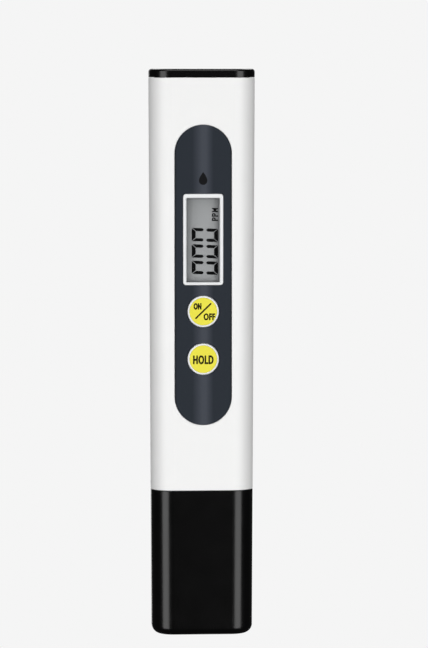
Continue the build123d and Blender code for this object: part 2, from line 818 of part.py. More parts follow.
# Probe holder: a plug in the sleeve, a spigot for the cap and a nose with pins
cap_seal_bottom = housing_bottom - (spigot_length + seal_height) / 2
holder_seal_bottom = housing_bottom + (socket_length - cup_wall - seal_height) / 2
spigot_groove = body_ring(
    cap_seal_bottom, cap_seal_bottom + seal_height, spigot_inset - seal_depth, spigot_inset + seal_depth
)
socket_groove = body_ring(
    holder_seal_bottom,
    holder_seal_bottom + seal_height,
    socket_inset - seal_depth,
    socket_inset + seal_depth,
)
prong_depth_middle = board_back + prong_depth / 2
cup_inset = socket_inset + seal_depth + cup_wall
with BuildPart() as probe_holder:
    add(body_block(housing_bottom, socket_top, socket_inset))
    add(body_block(spigot_bottom, housing_bottom, spigot_inset))
    chamfer(probe_holder.faces().sort_by(Axis.Z)[0].edges(), spigot_lead_in)
    with BuildSketch(Plane.XY.offset(nose_bottom)):
        with Locations((0, pin_axis)):
            RectangleRounded(
                nose_width - 2 * nose_draft, nose_depth - 2 * nose_draft, nose_corner - nose_draft
            )
    extrude(amount=nose_length, taper=-degrees(atan(nose_draft / nose_length)))
    add(spigot_groove, mode=Mode.SUBTRACT)
    add(socket_groove, mode=Mode.SUBTRACT)
    add(body_block(cup_floor, socket_top, cup_inset), mode=Mode.SUBTRACT)
    # Prongs that carry the foot of the board
    with BuildSketch(Plane.XY.offset(cup_floor)):
        with Locations((0, prong_depth_middle)):
            with GridLocations(2 * prong_middle, 1, 2, 1):
                Rectangle(prong_width, prong_depth)
    extrude(amount=cup_depth + prong_height)
    with BuildSketch(facing_front(board_back)):
        with Locations(*screw_places):
            Circle(screw_diameter / 2 + screw_clearance)
    extrude(amount=-prong_depth, mode=Mode.SUBTRACT)
    # Bores for the two pins and the temperature sensor
    with BuildSketch(Plane.XY.offset(nose_bottom)):
        with Locations((0, pin_axis)):
            with GridLocations(pin_spacing, 1, 2, 1):
                Circle(pin_diameter / 2 + pin_clearance)
    extrude(amount=cup_floor - nose_bottom, mode=Mode.SUBTRACT)
    with BuildSketch(Plane.XY.offset(nose_bottom + bead_floor)):
        with Locations((0, pin_axis)):
            Circle((bead_diameter + bead_clearance) / 2)
    extrude(amount=cup_floor - nose_bottom - bead_floor, mode=Mode.SUBTRACT)
probe_holder.part.label = "probe_holder"
export_step(probe_holder.part, "parts/probe_holder.step")

# Rubber rings on the probe holder: one seals the sleeve, one grips the cap
with BuildPart() as holder_seal:
    add(seal_ring(holder_seal_bottom, socket_inset, housing_wall + seal_clearance))
holder_seal.part.label = "holder_seal"
export_step(holder_seal.part, "parts/holder_seal.step")

with BuildPart() as cap_seal:
    add(seal_ring(cap_seal_bottom, spigot_inset, cap_wall + cap_seal_gap))
cap_seal.part.label = "cap_seal"
export_step(cap_seal.part, "parts/cap_seal.step")

# Resin in the cup of the holder, round the pins, the sensor's leads and prongs
with BuildPart() as probe_potting:
    add(body_block(cup_floor, potting_top, cup_inset + potting_clearance))
    with BuildSketch(Plane.XY.offset(cup_floor)):
        with Locations((0, prong_depth_middle)):
            with GridLocations(2 * prong_middle, 1, 2, 1):
                Rectangle(prong_width + 2 * potting_clearance, prong_depth + 2 * potting_clearance)
        with Locations((0, pin_axis)):
            with GridLocations(pin_spacing, 1, 2, 1):
                Circle(pin_diameter / 2 + potting_clearance)
            with GridLocations(lead_spacing, 1, 2, 1):
                Circle(lead_diameter / 2 + potting_clearance)
    extrude(amount=potting_depth, mode=Mode.SUBTRACT)
probe_potting.part.label = "probe_potting"
export_step(probe_potting.part, "parts/probe_potting.step")

# Probe pins: a round-tipped rod with a thinner tail soldered to the board
tail_top = board_bottom + tail_overlap
for name, side in (("left", -1), ("right", 1)):
    with BuildPart() as probe_pin:
        with BuildSketch(Plane.XY.offset(pin_bottom)):
            with Locations((side * pin_spacing / 2, pin_axis)):
                Circle(pin_diameter / 2)
        extrude(amount=potting_top - pin_bottom)
        fillet(probe_pin.faces().sort_by(Axis.Z)[0].edges(), pin_tip)
        with BuildSketch(Plane.XY.offset(potting_top)):
            with Locations((side * pin_spacing / 2, pin_axis)):
                Circle(tail_diameter / 2)
        extrude(amount=tail_top - potting_top)
    probe_pin.part.label = f"probe_pin_{name}"
    export_step(probe_pin.part, f"parts/probe_pin_{name}.step")

# Temperature sensor: a glass bead in its blind bore, with two leads
bead_bottom = nose_bottom + bead_floor + bead_clearance
with BuildPart() as temperature_sensor:
    with BuildSketch(Plane.XY.offset(bead_bottom)):
        with Locations((0, pin_axis)):
            Circle(bead_diameter / 2)
    extrude(amount=bead_length)
    fillet(temperature_sensor.faces().sort_by(Axis.Z)[0].edges(), 0.45 * bead_diameter)
    with BuildSketch(Plane.XY.offset(bead_bottom + bead_length)):
        with Locations((0, pin_axis)):
            with GridLocations(lead_spacing, 1, 2, 1):
                Circle(lead_diameter / 2)
    extrude(amount=tail_top - bead_bottom - bead_length)
temperature_sensor.part.label = "temperature_sensor"
export_step(temperature_sensor.part, "parts/temperature_sensor.step")

# Protective cap: a deep tapered cup that pulls off downwards
with BuildPart() as protective_cap:
    add(body_block(0, cap_top, 0))
    fillet(protective_cap.faces().sort_by(Axis.Z)[0].edges(), cap_bottom_radius)
    chamfer(protective_cap.faces().sort_by(Axis.Z)[-1].edges(), cap_mouth_edge)
    add(body_block(cap_floor, cap_top, cap_wall), mode=Mode.SUBTRACT)
    chamfer(protective_cap.faces().filter_by(Plane.XY).sort_by(Axis.Z)[1].edges(), cap_corner_inside)
protective_cap.part.label = "protective_cap"
export_step(protective_cap.part, "parts/protective_cap.step")
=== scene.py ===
"""Looks of a slim pocket water meter: finishes, printed marks, studio and camera."""

import json
import logging
import math
from dataclasses import dataclass
from enum import Enum
from typing import Callable, Union

import bpy
from mathutils import Matrix, Vector

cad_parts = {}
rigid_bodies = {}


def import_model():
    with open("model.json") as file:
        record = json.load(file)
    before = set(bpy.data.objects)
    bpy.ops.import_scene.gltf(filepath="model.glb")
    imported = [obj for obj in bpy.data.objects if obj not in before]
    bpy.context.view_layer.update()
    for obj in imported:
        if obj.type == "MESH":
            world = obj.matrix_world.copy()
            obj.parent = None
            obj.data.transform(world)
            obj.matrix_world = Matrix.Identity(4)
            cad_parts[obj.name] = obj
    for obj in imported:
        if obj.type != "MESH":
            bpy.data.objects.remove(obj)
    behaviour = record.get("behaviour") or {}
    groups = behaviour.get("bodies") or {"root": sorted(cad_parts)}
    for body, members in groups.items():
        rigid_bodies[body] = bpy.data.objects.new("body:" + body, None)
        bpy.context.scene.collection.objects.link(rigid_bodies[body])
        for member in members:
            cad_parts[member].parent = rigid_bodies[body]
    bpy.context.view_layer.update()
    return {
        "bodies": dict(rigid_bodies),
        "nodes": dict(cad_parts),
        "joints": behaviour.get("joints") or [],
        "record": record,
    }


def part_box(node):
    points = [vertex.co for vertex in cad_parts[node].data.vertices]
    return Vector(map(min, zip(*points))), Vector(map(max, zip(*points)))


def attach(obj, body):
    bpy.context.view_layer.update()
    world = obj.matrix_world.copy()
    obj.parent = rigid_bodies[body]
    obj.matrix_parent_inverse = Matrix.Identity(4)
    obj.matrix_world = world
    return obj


log = logging.getLogger("meter")

MM = 0.001
QUARTER_TURN = math.radians(90)
Colour = tuple[float, float, float]
Factors = tuple[float, float, float]
Number = Union[float, "Signal"]

# The curve from 8-bit screen levels to linear light
SCREEN_LEVELS = 255
SCREEN_KNEE = 0.04045
SCREEN_SLOPE = 12.92
SCREEN_OFFSET = 0.055
SCREEN_POWER = 2.4


def screen(red: int, green: int, blue: int) -> Colour:
    """Linear colour of an 8-bit screen colour.

    Args:
        red: Red level from 0 to 255.
        green: Green level from 0 to 255.
        blue: Blue level from 0 to 255.

    Returns:
        The three linear levels, from 0 to 1.
    """

    def linear(level: int) -> float:
        """Linear share of one 8-bit level."""
        share = level / SCREEN_LEVELS
        if share <= SCREEN_KNEE:
            return share / SCREEN_SLOPE
        return ((share + SCREEN_OFFSET) / (1 + SCREEN_OFFSET)) ** SCREEN_POWER

    return linear(red), linear(green), linear(blue)


def shade(colour: Colour, factor: float) -> Colour:
    """Colour with each of its levels multiplied by a factor."""
    return tuple(min(1.0, level * factor) for level in colour)


class Signal:
    """Output socket of a node that takes part in Python arithmetic."""

    def __init__(self, board: "NodeBoard", socket: bpy.types.NodeSocket) -> None:
        """Keep the socket and the board that its node is on."""
        self.board = board
        self.socket = socket

    def _maths(self, operation: str, left: Number, right: Number) -> "Signal":
        """Add a Math node that joins two values."""
        return self.board.node("ShaderNodeMath", {"operation": operation}, {0: left, 1: right})

    def __add__(self, other: Number) -> "Signal":
        """Sum with a number or another signal."""
        return self._maths("ADD", self, other)

    __radd__ = __add__

    def __sub__(self, other: Number) -> "Signal":
        """This signal less another value."""
        return self._maths("SUBTRACT", self, other)

    def __rsub__(self, other: Number) -> "Signal":
        """A number less this signal."""
        return self._maths("SUBTRACT", other, self)

    def __mul__(self, other: Number) -> "Signal":
        """Product with a number or another signal."""
        return self._maths("MULTIPLY", self, other)

    def __truediv__(self, other: Number) -> "Signal":
        """This signal divided by another value."""
        return self._maths("DIVIDE", self, other)

    def __abs__(self) -> "Signal":
        """Size of the signal without its sign."""
        return self._maths("ABSOLUTE", self, 0.0)

    def __gt__(self, other: Number) -> "Signal":
        """One where the signal is above a value, and zero elsewhere."""
        return self._maths("GREATER_THAN", self, other)


class NodeBoard:
    """Node tree of a material or of the world, with one way to add a node."""

    def __init__(self, tree: bpy.types.NodeTree) -> None:
        """Clear the tree and keep it."""
        self.tree = tree
        self.tree.nodes.clear()

    def node(
        self, kind: str, settings: dict, values: dict, output: Union[int, str] = 0
    ) -> Signal:
        """Add a node, set it up, and give its sockets their values or links.

        Args:
            kind: Blender's name for the type of node.
            settings: Properties of the node, with "stops" for a ramp's stops.
            values: Value or signal of each input, by its name or its number.
            output: Output that the returned signal stands for.

        Returns:
            The signal of the chosen output.
        """
        made = self.tree.nodes.new(kind)
        for key, setting in settings.items():
            if key == "stops":
                self._set_stops(made.color_ramp, setting)
            else:
                setattr(made, key, setting)
        for key, value in values.items():
            self._feed(made.inputs[key], value)
        outputs = made.outputs
        return Signal(self, outputs[output]) if len(outputs) else None

    def smooth_step(self, value: Signal, low: float, high: float) -> Signal:
        """Share from 0 to 1 that rises smoothly while a value goes from low to high."""
        settings = {"interpolation_type": "SMOOTHSTEP"}
        values = {"Value": value, "From Min": low, "From Max": high}
        return self.node("ShaderNodeMapRange", settings, values)

    def _set_stops(self, ramp: bpy.types.ColorRamp, stops: list) -> None:
        """Give a ramp its stops, each a place from 0 to 1 and a colour."""
        while len(ramp.elements) < len(stops):
            ramp.elements.new(1.0)
        for element, (place, colour) in zip(ramp.elements, stops):
            element.position = place
            element.color = (*colour, 1.0)

    def _feed(self, socket: bpy.types.NodeSocket, value) -> None:
        """Link a signal to a socket, or set the socket's own value."""
        if isinstance(value, Signal):
            self.tree.links.new(value.socket, socket)
        elif socket.type == "RGBA":
            socket.default_value = (*value, 1.0)
        else:
            socket.default_value = value


class Shader(NodeBoard):
    """Material with one Principled surface and short calls for what it needs."""

    def __init__(self, name: str) -> None:
        """Make the material, its surface and its Object coordinates."""
        self.material = bpy.data.materials.new(name)
        self.material.use_nodes = True
        super().__init__(self.material.node_tree)
        surface = self.node("ShaderNodeBsdfPrincipled", {}, {})
        self.surface = surface.socket.node
        self.node("ShaderNodeOutputMaterial", {}, {"Surface": surface})
        self.place = self.node("ShaderNodeTexCoord", {}, {}, "Object")

    def feed(self, name: str, value) -> None:
        """Give the surface's socket of that name a value or a link."""
        self._feed(self.surface.inputs[name], value)

    def axis(self, name: str) -> Signal:
        """One coordinate of the place, in metres."""
        return self.node("ShaderNodeSeparateXYZ", {}, {"Vector": self.place}, name)

    def noise(self, size: float, detail: float = 2.0, stretch: Factors = (1, 1, 1)) -> Signal:
        """Noise from 0 to 1 on Object coordinates.

        Args:
            size: Length of one patch in metres.
            detail: How many finer layers the noise has.
            stretch: Factor on the place along each axis, small where it is drawn out.

        Returns:
            The noise as a signal.
        """
        mapped = self.node("ShaderNodeMapping", {}, {"Vector": self.place, "Scale": stretch})
        values = {"Vector": mapped, "Scale": 1 / size, "Detail": detail}
        return self.node("ShaderNodeTexNoise", {}, values)

    def blend(self, share: Signal, low: object, high: object) -> Signal:
        """Colour that goes from low to high with a share from 0 to 1."""
        settings = {"data_type": "RGBA", "clamp_factor": True}
        return self.node("ShaderNodeMix", settings, {0: share, 6: low, 7: high}, 2)

    def ramp(self, share: Signal, stops: list) -> Signal:
        """Colour that follows the stops of a ramp."""
        return self.node("ShaderNodeValToRGB", {"stops": stops}, {"Fac": share})

    def bump(self, height: Signal, depth: float) -> None:
        """Roughen the surface by a height from 0 to 1.

        Args:
            height: Height of the relief.
            depth: What a height of 1 stands for, in metres.
        """
        values = {"Height": height, "Distance": depth, "Strength": 1.0}
        self.feed("Normal", self.node("ShaderNodeBump", {}, values, "Normal"))


@dataclass(frozen=True)
class Finish:
    """Surface finish that makes its own material."""

    name: str

    def paint(self, shader: Shader) -> None:
        """Lay the finish on a shader."""
        raise NotImplementedError

    def material(self) -> bpy.types.Material:
        """New material with this finish."""
        shader = Shader(self.name)
        self.paint(shader)
        return shader.material


@dataclass(frozen=True)
class MouldedPlastic(Finish):
    """Moulded plastic with a fine grain and a faintly uneven colour."""

    colour: Colour
    roughness: float = 0.3
    shine: float = 0.5
    mottle: float = 0.03
    grain: float = 0.18 * MM
    grain_depth: float = 0.0012 * MM
    patch: float = 7 * MM

    def paint(self, shader: Shader) -> None:
        """Lay the plastic's colour, gloss and grain on a shader."""
        patches = shader.noise(self.patch)
        pale = shade(self.colour, 1 + self.mottle)
        deep = shade(self.colour, 1 - self.mottle)
        shader.feed("Base Color", shader.blend(patches, deep, pale))
        shader.feed("Roughness", self.roughness * 0.85 + patches * (self.roughness * 0.3))
        shader.feed("Specular IOR Level", self.shine)
        shader.bump(shader.noise(self.grain, 3.0), self.grain_depth)


@dataclass(frozen=True)
class PanelFilm(Finish):
    """Dark film on the front, with a painted highlight down its middle and painted shade at its
    edge.
    """

    half_width: float
    # The edge colour is painted shade along the film's border, and is also mixed faintly into the
    # speckle.
    edge: Colour = screen(34, 37, 41)
    side: Colour = screen(43, 48, 55)
    # The next two colours paint a highlight band down the film's middle.
    painted_highlight_fringe: Colour = screen(58, 62, 70)
    painted_highlight: Colour = screen(69, 73, 81)
    texture: float = 0.25 * MM
    texture_depth: float = 0.0008 * MM

    def paint(self, shader: Shader) -> None:
        """Lay the film's colour, its painted highlight band, its painted edge shade and its fine
        texture on a shader.
        """
        across = shader.axis("X") / (2 * self.half_width) + 0.5
        # Across the film: painted shade at both edges, its own colour at the sides, and a painted
        # highlight down the middle.
        stops = [
            (0.0, self.edge),
            (0.04, self.side),
            (0.31, self.side),
            (0.4, self.painted_highlight_fringe),
            (0.48, self.painted_highlight),
            (0.55, self.painted_highlight),
            (0.61, self.painted_highlight_fringe),
            (0.68, self.side),
            (0.96, self.side),
            (1.0, self.edge),
        ]
        speckle = shader.noise(self.texture, 3.0)
        film_bands_with_painted_light = shader.ramp(across, stops)
        shader.feed("Base Color", shader.blend(speckle * 0.12, film_bands_with_painted_light, self.edge))
        shader.feed("Roughness", 0.2 + speckle * 0.1)
        shader.feed("Specular IOR Level", 0.3)
        shader.bump(speckle, self.texture_depth)


@dataclass(frozen=True)
class ClearSheet(Finish):
    """Clear plastic or glass that lets most of the light through."""

    body: float = 0.1
    tint: Colour = (0.05, 0.055, 0.055)
    streak: float = 3 * MM
    drawn: Factors = (1, 1, 0.4)

    def paint(self, shader: Shader) -> None:
        """Lay a thin haze and a clean gloss on a shader."""
        smear = shader.noise(self.streak, 3.0, self.drawn)
        shader.feed("Base Color", shader.blend(smear, self.tint, shade(self.tint, 1.4)))
        shader.feed("Alpha", self.body * 0.8 + smear * (self.body * 0.4))
        shader.feed("Roughness", 0.04 + smear * 0.05)


@dataclass(frozen=True)
class LiquidCrystal(Finish):
    """Grey polarised sheet of a reflective display, with painted shade towards its edges."""

    centre: tuple[float, float]
    half_size: tuple[float, float]
    colour: Colour = screen(156, 158, 159)
    # The rim colour is painted shade, where the recess round the window shades the display.
    painted_rim_shade: Colour = screen(104, 106, 108)
    rim: float = 1.3 * MM
    speckle: float = 0.12 * MM

    def paint(self, shader: Shader) -> None:
        """Lay the grey, its painted edge shade and a fine speckle on a shader."""
        from_side = self.half_size[0] - abs(shader.axis("X") - self.centre[0])
        from_end = self.half_size[1] - abs(shader.axis("Z") - self.centre[1])
        sides = {0: from_side, 1: from_end}
        nearest = shader.node("ShaderNodeMath", {"operation": "MINIMUM"}, sides)
        # Painted shade: the grey fades to the rim colour near the window's edges.
        unshaded_share = shader.smooth_step(nearest, 0.0, self.rim)
        speckle = shader.noise(self.speckle, 2.0)
        grey = shader.blend(speckle, shade(self.colour, 0.96), shade(self.colour, 1.04))
        shader.feed("Base Color", shader.blend(unshaded_share, self.painted_rim_shade, grey))
        shader.feed("Roughness", 0.42 + speckle * 0.1)
        shader.feed("Specular IOR Level", 0.3)


@dataclass(frozen=True)
class Ink(Finish):
    """Printed ink or the dark state of a display, with a faint unevenness."""

    colour: Colour
    roughness: float = 0.45
    shine: float = 0.12
    coat: float = 0.3 * MM
    coat_depth: float = 0.0005 * MM

    def paint(self, shader: Shader) -> None:
        """Lay the ink's colour and its slightly uneven coat on a shader."""
        coat = shader.noise(self.coat, 3.0)
        deep = shade(self.colour, 0.8)
        pale = shade(self.colour, 1.3)
        shader.feed("Base Color", shader.blend(coat, deep, pale))
        shader.feed("Roughness", self.roughness + coat * 0.15)
        shader.feed("Specular IOR Level", self.shine)
        shader.bump(coat, self.coat_depth)


@dataclass(frozen=True)
class Metal(Finish):
    """Bare metal with fine marks drawn out along one direction."""

    colour: Colour
    roughness: float = 0.28
    along: Factors = (1, 1, 0.05)
    mark: float = 0.08 * MM
    depth: float = 0.0015 * MM
    patch: float = 2.5 * MM

    def paint(self, shader: Shader) -> None:
        """Lay the metal, its drawn marks and dull patches on a shader."""
        marks = shader.noise(self.mark, 3.0, self.along)
        dull = shader.noise(self.patch, 3.0)
        shader.feed("Base Color", shader.blend(dull, shade(self.colour, 0.88), self.colour))
        shader.feed("Metallic", 1.0)
        shader.feed("Roughness", self.roughness + marks * 0.12 + dull * 0.08)
        shader.bump(marks, self.depth)


@dataclass(frozen=True)
class CellSteel(Finish):
    """Nickel-plated can of a button cell, turned in fine rings round its axis."""

    centre: tuple[float, float]
    colour: Colour = (0.62, 0.61, 0.58)
    ring: float = 0.12 * MM
    ring_depth: float = 0.0006 * MM
    patch: float = 1.8 * MM

    def paint(self, shader: Shader) -> None:
        """Lay the plating and its turned rings on a shader."""
        across = shader.axis("X") - self.centre[0]
        up = shader.axis("Z") - self.centre[1]
        square = across * across + up * up
        radius = shader.node("ShaderNodeMath", {"operation": "SQRT"}, {0: square})
        turns = radius * (2 * math.pi / self.ring)
        rings = shader.node("ShaderNodeMath", {"operation": "SINE"}, {0: turns})
        dull = shader.noise(self.patch, 4.0)
        shader.feed("Base Color", shader.blend(dull, shade(self.colour, 0.85), self.colour))
        shader.feed("Metallic", 1.0)
        shader.feed("Roughness", 0.32 + dull * 0.2)
        shader.bump(rings * 0.5 + 0.5, self.ring_depth)


@dataclass(frozen=True)
class SoftRubber(Finish):
    """Matt black rubber with a fine bloom on it."""

    colour: Colour = (0.012, 0.012, 0.013)
    bloom: Colour = (0.05, 0.05, 0.052)
    patch: float = 1.2 * MM
    grain: float = 0.15 * MM
    grain_depth: float = 0.004 * MM

    def paint(self, shader: Shader) -> None:
        """Lay the rubber and its bloom on a shader."""
        patches = shader.noise(self.patch, 4.0)
        shader.feed("Base Color", shader.blend(patches * patches, self.colour, self.bloom))
        shader.feed("Roughness", 0.65 + patches * 0.2)
        shader.bump(shader.noise(self.grain, 2.0), self.grain_depth)


@dataclass(frozen=True)
class BoardMask(Finish):
    """Green solder mask over copper tracks."""

    mask: Colour = (0.012, 0.12, 0.04)
    over_copper: Colour = (0.03, 0.26, 0.08)
    pitch: float = 1.1 * MM
    track: float = 0.3
    region: float = 5 * MM
    routed_above: float = 0.46
    weave: float = 0.3 * MM
    relief: float = 0.02 * MM

    def paint(self, shader: Shader) -> None:
        """Lay the mask, the tracks under it and the weave of the board on a shader."""
        turn = {"Vector": shader.place, "Rotation": (QUARTER_TURN, 0, 0)}
        flat = shader.node("ShaderNodeMapping", {}, turn)
        settings = {"offset": 0.5, "squash": 0.6, "squash_frequency": 3}
        values = {
            "Vector": flat,
            "Scale": 1 / self.pitch,
            "Mortar Size": self.track / 2,
            "Mortar Smooth": 0.1,
            "Brick Width": 5.0,
            "Row Height": 1.0,
        }
        tracks = shader.node("ShaderNodeTexBrick", settings, values, "Fac")
        routed = tracks * (shader.noise(self.region, 0.0) > self.routed_above)
        weave = shader.noise(self.weave, 1.0)
        shader.feed("Base Color", shader.blend(routed, self.mask, self.over_copper))
        shader.feed("Roughness", 0.28 + weave * 0.15)
        shader.bump(routed + weave * 0.15, self.relief)


@dataclass(frozen=True)
class ChipBody(Finish):
    """Moulded part whose metal ends start at a distance from its middle."""

    middle: float
    body_half: float
    colour: Colour = (0.02, 0.02, 0.021)
    tin: Colour = (0.7, 0.7, 0.68)
    grain: float = 0.1 * MM
    grain_depth: float = 0.003 * MM

    def paint(self, shader: Shader) -> None:
        """Lay the moulded body and its bright ends on a shader."""
        ends = abs(shader.axis("X") - self.middle) > self.body_half
        grain = shader.noise(self.grain, 3.0)
        shader.feed("Base Color", shader.blend(ends, self.colour, self.tin))
        shader.feed("Metallic", ends)
        shader.feed("Roughness", 0.6 - ends * 0.3 + grain * 0.1)
        shader.bump(grain, self.grain_depth)


@dataclass(frozen=True)
class CastResin(Finish):
    """Cast resin with slow ripples where it has flowed."""

    colour: Colour = (0.01, 0.01, 0.011)
    roughness: float = 0.2
    ripple: float = 2.2 * MM
    ripple_depth: float = 0.08 * MM

    def paint(self, shader: Shader) -> None:
        """Lay the resin's gloss, its ripples and a few dull patches on a shader."""
        flow = shader.noise(self.ripple, 2.0)
        shader.feed("Base Color", shader.blend(flow, self.colour, shade(self.colour, 1.8)))
        shader.feed("Roughness", self.roughness + flow * 0.25)
        shader.bump(flow, self.ripple_depth)


WHITE_SHELL = MouldedPlastic(
    "white_shell", (0.86, 0.86, 0.855), roughness=0.42, shine=0.28, mottle=0.012
)
WHITE_TRIM = MouldedPlastic(
    "white_trim", (0.84, 0.85, 0.86), roughness=0.3, shine=0.45, mottle=0.012
)
BLACK_CAP = MouldedPlastic(
    "black_cap",
    (0.0014, 0.0014, 0.0015),
    roughness=0.22,
    shine=0.4,
    mottle=0.15,
    grain=0.35 * MM,
    grain_depth=0.0006 * MM,
)
BLACK_HOLDER = MouldedPlastic(
    "black_holder", (0.008, 0.008, 0.009), roughness=0.4, shine=0.4, mottle=0.15
)
BLACK_NYLON = MouldedPlastic(
    "black_nylon", (0.015, 0.015, 0.015), roughness=0.5, shine=0.3, mottle=0.1
)
FROSTED = MouldedPlastic(
    "frosted_holder", (0.55, 0.57, 0.56), roughness=0.5, shine=0.4, mottle=0.03
)
YELLOW_FACE = MouldedPlastic(
    "yellow_face", screen(233, 224, 72), roughness=0.38, shine=0.35, mottle=0.02
)
MIRROR_SHEET = MouldedPlastic(
    "reflector_sheet", (0.6, 0.61, 0.6), roughness=0.25, shine=0.6, mottle=0.03
)
CLEAR_WINDOW = ClearSheet("window_plastic", body=0.03)
REAR_GLASS = ClearSheet("rear_glass", body=0.3, tint=(0.2, 0.22, 0.21))
DISPLAY_INK = Ink("display_segments", (0.0008, 0.0008, 0.001), roughness=0.2, shine=0.06)
PANEL_INK = Ink("panel_print", (0.0035, 0.0038, 0.0045), roughness=0.5)
BUTTON_INK = Ink("button_print", (0.008, 0.005, 0.003), roughness=0.45, shine=0.1)
BRIGHT_STEEL = Metal("sprung_steel", (0.68, 0.68, 0.67))
TITANIUM = Metal("titanium_pins", (0.6, 0.59, 0.57), roughness=0.24)
SOLDERED = Metal(
    "tinned_screws", (0.62, 0.62, 0.6), roughness=0.35, along=(1, 1, 1), mark=0.3 * MM
)
RUBBER = SoftRubber("soft_rubber")
ZEBRA = SoftRubber("contact_rubber", colour=(0.02, 0.02, 0.02), bloom=(0.16, 0.15, 0.13))
SOLDER_MASK = BoardMask("solder_mask")
RESIN = CastResin("cast_resin")
BEAD = CastResin("sensor_bead", colour=(0.02, 0.012, 0.008), roughness=0.12)


class Bench:
    """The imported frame, with the ways in which pieces are dressed and handed over."""

    def __init__(self, frame: dict) -> None:
        """Keep the frame's nodes."""
        self.nodes = frame["nodes"]
        self.dressed: set[str] = set()
        self.made: dict[str, bpy.types.Material] = {}

    def material(self, finish: Finish) -> bpy.types.Material:
        """Material of a finish, made on its first use."""
        if finish.name not in self.made:
            self.made[finish.name] = finish.material()
        return self.made[finish.name]

    def dress(self, node: str, finish: Finish) -> None:
        """Give a node of the frame its finish.

        Args:
            node: Name of the node.
            finish: Finish that its material comes from.
        """
        for slot in self.nodes[node].material_slots:
            slot.material = self.material(finish)
        self.dressed.add(node)
        log.info("dressed %s with %s", node, finish.name)

    def hand_over(self, piece: bpy.types.Object, body: str, slot: str, finish: Finish) -> None:
        """Finish a new piece and let it ride on a body.

        Args:
            piece: The new piece, with its place in its mesh.
            body: Body that carries it.
            slot: The record's slot for its finish; not used.
            finish: Finish that its material comes from.
        """
        piece.data.materials.clear()
        piece.data.materials.append(self.material(finish))
        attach(piece, body)
        log.info("piece %s on %s, %d faces", piece.name, body, len(piece.data.polygons))

    def low(self, node: str) -> Vector:
        """Lowest corner of a node's box."""
        return Vector(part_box(node)[0])

    def high(self, node: str) -> Vector:
        """Highest corner of a node's box."""
        return Vector(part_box(node)[1])

    def middle(self, node: str) -> Vector:
        """Centre of a node's box."""
        return (self.low(node) + self.high(node)) / 2


class Reading(Enum):
    """Direction in which a mark on the front is read."""

    ACROSS = Matrix.Rotation(QUARTER_TURN, 4, "X")
    UPWARDS = Matrix.Rotation(-QUARTER_TURN, 4, "Y") @ Matrix.Rotation(QUARTER_TURN, 4, "X")


class Corner(Enum):
    """How the corners at one end of a display segment are cut."""

    MITRED = 1
    POINTED = 2


@dataclass(frozen=True)
class Lettering:
    """Words on a front face, centred at an offset from a point of it.

    Lengths are in metres, and the weight is how far each stroke is thickened on either side.
    """

    name: str
    text: str
    length: float
    height: float
    weight: float
    across: float = 0.0
    up: float = 0.0


ON_WORD = Lettering(
    "on_mark", "ON", length=2.16 * MM, height=1.82 * MM, weight=0.11 * MM,
    across=-1.58 * MM, up=1.42 * MM,
)
OFF_WORD = Lettering(
    "off_mark", "OFF", length=3.17 * MM, height=1.9 * MM, weight=0.11 * MM,
    across=1.66 * MM, up=-1.43 * MM,
)
HOLD_WORD = Lettering(
    "hold_mark", "HOLD", length=5.6 * MM, height=2.45 * MM, weight=0.12 * MM, up=-0.17 * MM
)
UNIT_START = Lettering(
    "unit_mark_start", "PP", length=2.15 * MM, height=1.7 * MM, weight=0.08 * MM, up=-0.7 * MM
)
UNIT_END = Lettering(
    "unit_mark_end", "M", length=1.15 * MM, height=1.7 * MM, weight=0.045 * MM, up=1.2 * MM
)


